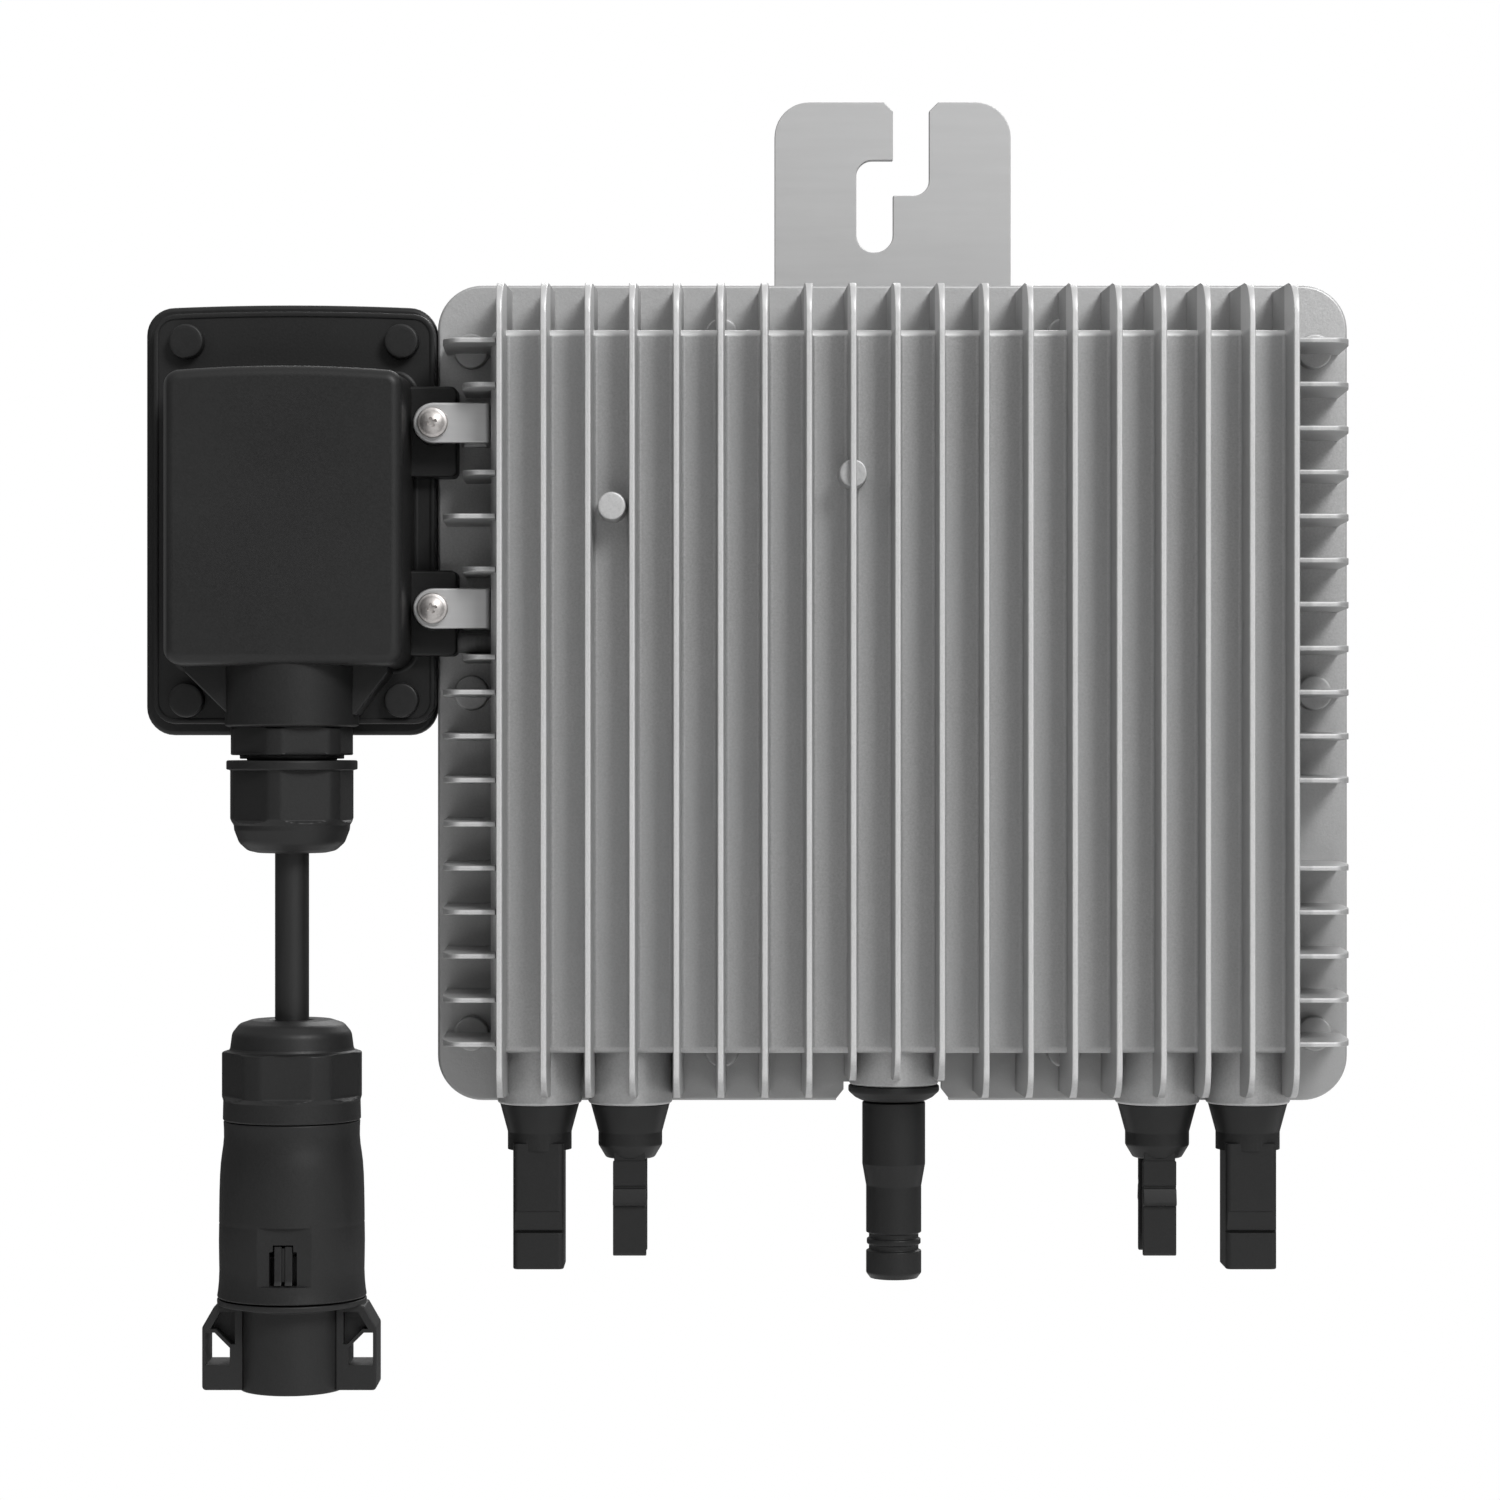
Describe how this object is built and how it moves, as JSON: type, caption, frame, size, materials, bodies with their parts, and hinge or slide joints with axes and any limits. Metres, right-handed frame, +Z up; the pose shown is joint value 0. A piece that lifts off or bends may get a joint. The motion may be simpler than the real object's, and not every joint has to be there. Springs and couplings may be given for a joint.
{
  "type": "string inverter",
  "caption": "Finned die-cast string inverter with side relay box, AC lead and plug, DC connectors, stub antenna and a J-slot hanging bracket.",
  "frame": {"origin": "back face of the hanging bracket, on its centreline just below the J slot", "axes": "+Z up, +Y out of the back face towards the rail or wall, fins towards -Y, relay box at -X"},
  "size_m": [0.2788, 0.04, 0.2975],
  "materials": {
    "cast_aluminium": "die cast, fine blasted grain",
    "zinc_steel": "rolled sheet, zinc plated",
    "screw_steel": "machined stainless steel",
    "black_plastic": "fine moulded texture",
    "connector_plastic": "moulded, slightly smoother",
    "cable_jacket": "extruded jacket",
    "seal_rubber": "matt",
    "circuit_board": "solder mask",
    "copper_wire": "enamelled copper",
    "ferrite": "ground ferrite",
    "capacitor_sleeve": "shrink sleeve",
    "relay_case": "moulded case"
  },
  "bodies": {
    "inverter": {"front_housing": "cast_aluminium", "back_plate": "zinc_steel", "mounting_bracket": "zinc_steel", "strap_upper": "zinc_steel", "strap_lower": "zinc_steel", "bracket_screw_1": "screw_steel", "bracket_screw_2": "screw_steel", "strap_screw_upper": "screw_steel", "strap_screw_lower": "screw_steel", "case_screw_01": "screw_steel", "case_screw_02": "screw_steel", "case_screw_03": "screw_steel", "case_screw_04": "screw_steel", "case_screw_05": "screw_steel", "case_screw_06": "screw_steel", "case_screw_07": "screw_steel", "case_screw_08": "screw_steel", "case_screw_09": "screw_steel", "case_screw_10": "screw_steel", "relay_cover_screw_1": "screw_steel", "relay_cover_screw_2": "screw_steel", "relay_cover_screw_3": "screw_steel", "relay_cover_screw_4": "screw_steel", "housing_seal": "seal_rubber", "relay_box_seal": "seal_rubber", "antenna_seal": "seal_rubber", "ac_cable": "cable_jacket", "link_cable": "cable_jacket", "relay_box_housing": "black_plastic", "relay_box_cover": "black_plastic", "gland_body": "black_plastic", "plug_barrel": "black_plastic", "plug_shroud": "black_plastic", "plug_insert": "black_plastic", "dc_socket_left": "connector_plastic", "dc_socket_right": "connector_plastic", "dc_plug_left": "connector_plastic", "dc_plug_right": "connector_plastic", "antenna_stub": "connector_plastic", "main_pcb": "circuit_board", "relay_pcb": "circuit_board", "wifi_module": "circuit_board", "transformer_winding_left": "copper_wire", "transformer_winding_right": "copper_wire", "output_choke": "copper_wire", "transformer_core_left": "ferrite", "transformer_core_right": "ferrite", "dc_capacitor_left": "capacitor_sleeve", "dc_capacitor_right": "capacitor_sleeve", "relay_1": "relay_case", "relay_2": "relay_case"},
    "gland_seal": {"gland_seal": "seal_rubber"},
    "gland_nut": {"gland_nut": "black_plastic"},
    "plug_seal": {"plug_seal": "seal_rubber"},
    "plug_nut": {"plug_nut": "black_plastic"},
    "plug_latch": {"plug_latch": "black_plastic"},
    "latch_arm_left_front": {"latch_arm_left_front": "connector_plastic"},
    "latch_arm_left_back": {"latch_arm_left_back": "connector_plastic"},
    "latch_arm_right_front": {"latch_arm_right_front": "connector_plastic"},
    "latch_arm_right_back": {"latch_arm_right_back": "connector_plastic"}
  },
  "joints": [
    {"name": "gland_seal_travel", "type": "slide", "parent": "inverter", "child": "gland_seal", "axis": [0, 0, -1], "range_m": [0, 0.00225]},
    {"name": "gland_nut_turn", "type": "hinge", "parent": "gland_seal", "child": "gland_nut", "pos_m": [-0.13798, -0.021, -0.125], "axis": [0, 0, -1], "range_deg": [0, 541]},
    {"name": "plug_seal_travel", "type": "slide", "parent": "inverter", "child": "plug_seal", "axis": [0, 0, 1], "range_m": [0, 0.00225]},
    {"name": "plug_nut_turn", "type": "hinge", "parent": "plug_seal", "child": "plug_nut", "pos_m": [-0.13798, -0.021, -0.187], "axis": [0, 0, 1], "range_deg": [0, 541]},
    {"name": "plug_latch_press", "type": "hinge", "parent": "inverter", "child": "plug_latch", "pos_m": [-0.13828, -0.03531, -0.2246], "axis": [1, 0, 0], "range_deg": [0, 7], "stiffness_Nm_per_rad": 0.2},
    {"name": "latch_arm_left_front_flex", "type": "hinge", "parent": "inverter", "child": "latch_arm_left_front", "pos_m": [-0.06065, -0.02101, -0.20678], "axis": [1, 0, 0], "range_deg": [0, 4], "stiffness_Nm_per_rad": 0.5},
    {"name": "latch_arm_left_back_flex", "type": "hinge", "parent": "inverter", "child": "latch_arm_left_back", "pos_m": [-0.06065, -0.01099, -0.20678], "axis": [-1, 0, 0], "range_deg": [0, 4], "stiffness_Nm_per_rad": 0.5},
    {"name": "latch_arm_right_front_flex", "type": "hinge", "parent": "inverter", "child": "latch_arm_right_front", "pos_m": [0.06065, -0.02101, -0.20678], "axis": [1, 0, 0], "range_deg": [0, 4], "stiffness_Nm_per_rad": 0.5},
    {"name": "latch_arm_right_back_flex", "type": "hinge", "parent": "inverter", "child": "latch_arm_right_back", "pos_m": [0.06065, -0.01099, -0.20678], "axis": [-1, 0, 0], "range_deg": [0, 4], "stiffness_Nm_per_rad": 0.5}
  ],
  "couplings": [
    {"joint": "gland_nut_turn", "follows": "gland_seal_travel", "rad_per_m": 4188.8},
    {"joint": "plug_nut_turn", "follows": "plug_seal_travel", "rad_per_m": 4188.8}
  ]
}
